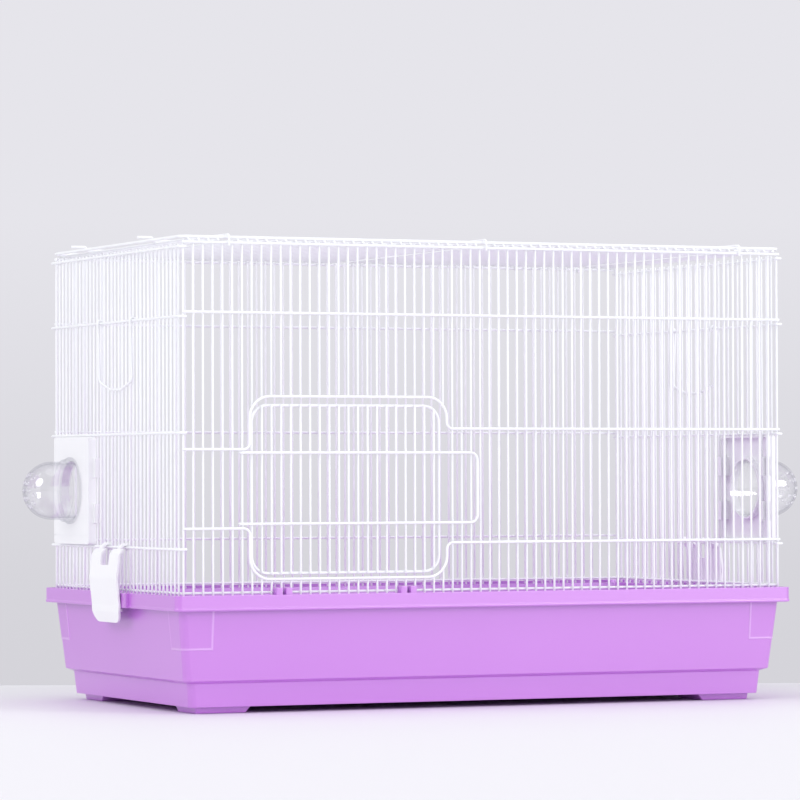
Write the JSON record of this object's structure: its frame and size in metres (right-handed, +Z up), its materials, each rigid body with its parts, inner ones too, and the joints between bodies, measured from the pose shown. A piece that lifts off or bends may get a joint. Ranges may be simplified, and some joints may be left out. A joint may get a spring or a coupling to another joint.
{
  "type": "small pet cage",
  "caption": "Wire cage on a moulded plastic tray, with a hinged wire roof, a hinged front door, tray clips, water-bottle bails and a clear viewing bubble on each end.",
  "frame": {"origin": "on the ground under the middle of the cage", "axes": "+Z up, +X along the length towards the right end seen from the front, -Y towards the door"},
  "size_m": [0.7108, 0.3474, 0.4255],
  "materials": {
    "tray_plastic": "injection-moulded, glossy orchid purple",
    "white_wire": "round steel wire, spot-welded and powder-coated white",
    "white_plastic": "injection-moulded, semi-gloss white",
    "clear_plastic": "clear, glossy, blow-moulded"
  },
  "bodies": {
    "base": {"tray": "tray_plastic", "front_uprights": "white_wire", "front_doorway_uprights": "white_wire", "front_top_rail": "white_wire", "front_upper_rail": "white_wire", "front_middle_rail": "white_wire", "front_lower_rail": "white_wire", "front_bottom_rail": "white_wire", "back_uprights": "white_wire", "back_top_rail": "white_wire", "back_upper_rail": "white_wire", "back_middle_rail": "white_wire", "back_lower_rail": "white_wire", "back_bottom_rail": "white_wire", "left_uprights": "white_wire", "left_port_uprights": "white_wire", "left_top_rail": "white_wire", "left_upper_rail": "white_wire", "left_middle_rail": "white_wire", "left_lower_rail": "white_wire", "left_bottom_rail": "white_wire", "left_port_plate": "white_plastic", "right_uprights": "white_wire", "right_port_uprights": "white_wire", "right_top_rail": "white_wire", "right_upper_rail": "white_wire", "right_middle_rail": "white_wire", "right_lower_rail": "white_wire", "right_bottom_rail": "white_wire", "right_port_plate": "white_plastic"},
    "roof": {"roof_border": "white_wire", "roof_cross_wires": "white_wire", "roof_hook_wires": "white_wire", "roof_stays": "white_wire"},
    "door": {"door_frame": "white_wire", "door_uprights": "white_wire", "door_latch_wire": "white_wire"},
    "left_clip": {"left_clip": "white_plastic"},
    "left_bottle_bail": {"left_bottle_bail": "white_wire"},
    "left_bubble": {"left_bubble": "clear_plastic"},
    "right_clip": {"right_clip": "white_plastic"},
    "right_bottle_bail": {"right_bottle_bail": "white_wire"},
    "right_bubble": {"right_bubble": "clear_plastic"}
  },
  "joints": [
    {"name": "roof_hinge", "type": "hinge", "parent": "base", "child": "roof", "pos_m": [0, 0.16721, 0.4165], "axis": [-1, 0, 0], "range_deg": [0, 100]},
    {"name": "door_hinge", "type": "hinge", "parent": "base", "child": "door", "pos_m": [-0.2418, -0.165, 0.1995], "axis": [0, 0, -1], "range_deg": [0, 135]},
    {"name": "left_clip_hinge", "type": "hinge", "parent": "base", "child": "left_clip", "pos_m": [-0.30221, -0.0094, 0.146], "axis": [0, 1, 0], "range_deg": [0, 90]},
    {"name": "left_bottle_bail_hinge", "type": "hinge", "parent": "base", "child": "left_bottle_bail", "pos_m": [-0.30221, -0.0094, 0.351], "axis": [0, 1, 0], "range_deg": [0, 150]},
    {"name": "left_bubble_pull", "type": "slide", "parent": "base", "child": "left_bubble", "axis": [-1, 0, 0], "range_m": [0, 0.06]},
    {"name": "right_clip_hinge", "type": "hinge", "parent": "base", "child": "right_clip", "pos_m": [0.30221, 0.0094, 0.146], "axis": [0, -1, 0], "range_deg": [0, 90]},
    {"name": "right_bottle_bail_hinge", "type": "hinge", "parent": "base", "child": "right_bottle_bail", "pos_m": [0.30221, 0.0094, 0.351], "axis": [0, -1, 0], "range_deg": [0, 150]},
    {"name": "right_bubble_pull", "type": "slide", "parent": "base", "child": "right_bubble", "axis": [1, 0, 0], "range_m": [0, 0.06]}
  ]
}
